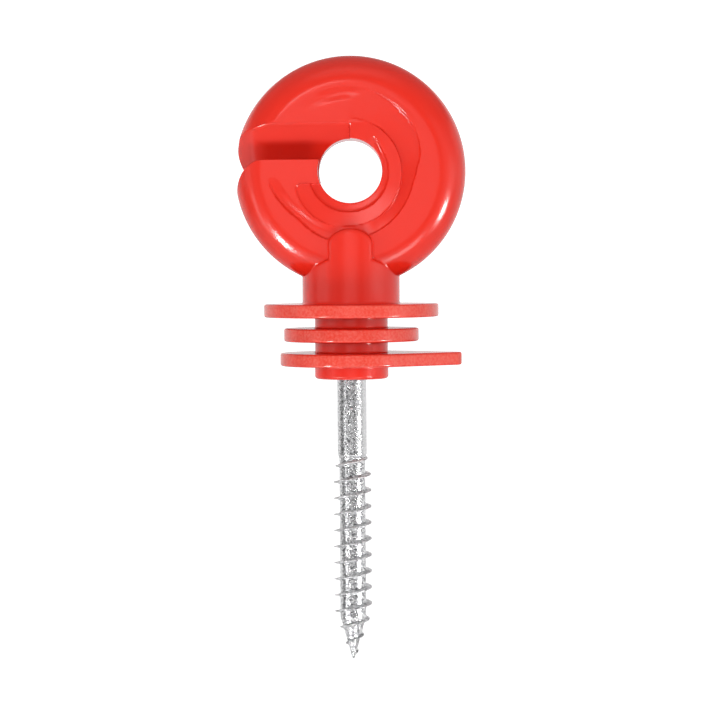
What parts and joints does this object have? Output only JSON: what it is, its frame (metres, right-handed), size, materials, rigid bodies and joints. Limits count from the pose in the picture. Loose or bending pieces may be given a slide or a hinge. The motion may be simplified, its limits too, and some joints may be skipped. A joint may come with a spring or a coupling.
{
  "type": "screw-in ring insulator",
  "caption": "Electric fence ring insulator: slotted plastic ring on a neck with drip plates, moulded on a steel wood screw that drives into a timber post.",
  "frame": {"origin": "on the screw axis, in the seat face: the underside of the lowest collar, which bears on the post", "axes": "+Z along the screw axis towards the ring; the ring's hole runs along Y with the front face towards -Y; the slot opens towards -X and the drip tip of the lowest plate points to +X"},
  "size_m": [0.0362, 0.0276, 0.0958],
  "materials": {
    "red_plastic": "glossy",
    "zinc_steel": "spangled zinc plating"
  },
  "bodies": {
    "root": {"insulator_body": "red_plastic", "wood_screw": "zinc_steel"}
  },
  "joints": []
}
